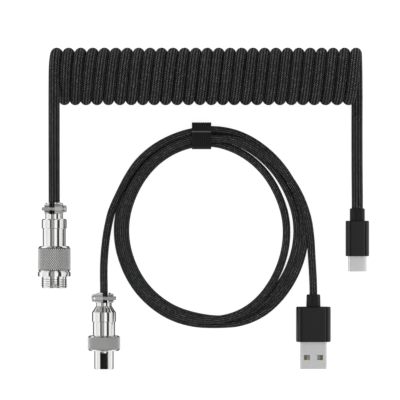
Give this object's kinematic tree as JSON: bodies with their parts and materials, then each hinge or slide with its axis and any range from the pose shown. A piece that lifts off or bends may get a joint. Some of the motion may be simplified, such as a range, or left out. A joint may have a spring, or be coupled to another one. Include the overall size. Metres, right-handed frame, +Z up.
{
  "type": "coiled keyboard cable set",
  "caption": "Detachable keyboard cable set: a coiled braided cord with a USB-C plug and threaded round socket, and a tied looped cord with the mating plug and a USB-A plug.",
  "frame": {"origin": "on the table, under the middle of the box round the connectors and the strap", "axes": "+Z up from the table; +X along the coil from the round socket to the USB-C plug; every connector's mouth points along -Y"},
  "size_m": [0.15, 0.1451, 0.026],
  "materials": {
    "nickel": "bright nickel plate",
    "screw_steel": "plated steel",
    "plug_steel": "bright rolled steel",
    "gold_contact": "gold flash",
    "black_insulator": "moulded",
    "white_insulator": "moulded",
    "black_plastic": "satin moulded",
    "soft_black_plastic": "soft moulded",
    "cable_jacket": "smooth",
    "wire_insulation": "smooth",
    "circuit_board": "solder mask",
    "black_braid": "braided",
    "strap_nylon": "woven hook and loop"
  },
  "bodies": {
    "keyboard_cable": {"socket_back_shell": "nickel", "socket_clamp_saddle": "nickel", "socket_clamp_screws": "screw_steel", "socket_knurled_body": "nickel", "socket_insulator": "black_insulator", "socket_contacts": "gold_contact", "socket_inner_jacket": "cable_jacket", "socket_wires": "wire_insulation", "device_cord_lead": "black_braid", "coiled_cord": "black_braid"},
    "usb_c_end": {"device_cord_tail": "black_braid", "usb_c_strain_relief": "soft_black_plastic", "usb_c_overmould": "black_plastic", "usb_c_shell": "plug_steel", "usb_c_insulator": "black_insulator", "usb_c_contacts": "gold_contact", "usb_c_latch_springs": "plug_steel", "usb_c_circuit_board": "circuit_board"},
    "host_cable": {"plug_back_shell": "nickel", "plug_clamp_saddle": "nickel", "plug_clamp_screws": "screw_steel", "plug_slotted_barrel": "nickel", "plug_insulator": "black_insulator", "plug_pins": "gold_contact", "plug_inner_jacket": "cable_jacket", "plug_wires": "wire_insulation", "host_cord_plug_tail": "black_braid", "host_cord_loop": "black_braid", "host_cord_usb_tail": "black_braid", "usb_a_strain_relief": "soft_black_plastic", "usb_a_housing": "black_plastic", "usb_a_shell": "plug_steel", "usb_a_tongue": "white_insulator", "usb_a_contacts": "gold_contact", "usb_a_inner_mould": "black_insulator", "strap_band": "strap_nylon"},
    "coupling_ring": {"plug_coupling_ring": "nickel"},
    "strap_tail": {"strap_tail": "strap_nylon"}
  },
  "joints": [
    {"name": "coil_stretch", "type": "slide", "parent": "keyboard_cable", "child": "usb_c_end", "axis": [1, 0, 0], "range_m": [0, 0.15], "stiffness_N_per_m": 12, "deforming": ["coiled_cord"]},
    {"name": "host_cable_slide", "type": "slide", "parent": "keyboard_cable", "child": "host_cable", "axis": [0, -1, 0], "range_m": [0, 0.1]},
    {"name": "coupling_ring_spin", "type": "hinge", "parent": "host_cable", "child": "coupling_ring", "pos_m": [-0.04505, -0.045, 0.00745], "axis": [0, -1, 0], "continuous": true},
    {"name": "strap_tail_peel", "type": "hinge", "parent": "host_cable", "child": "strap_tail", "pos_m": [-0.0009, 0.0535, 0.0091], "axis": [-1, 0, 0], "range_deg": [0, 150]}
  ]
}
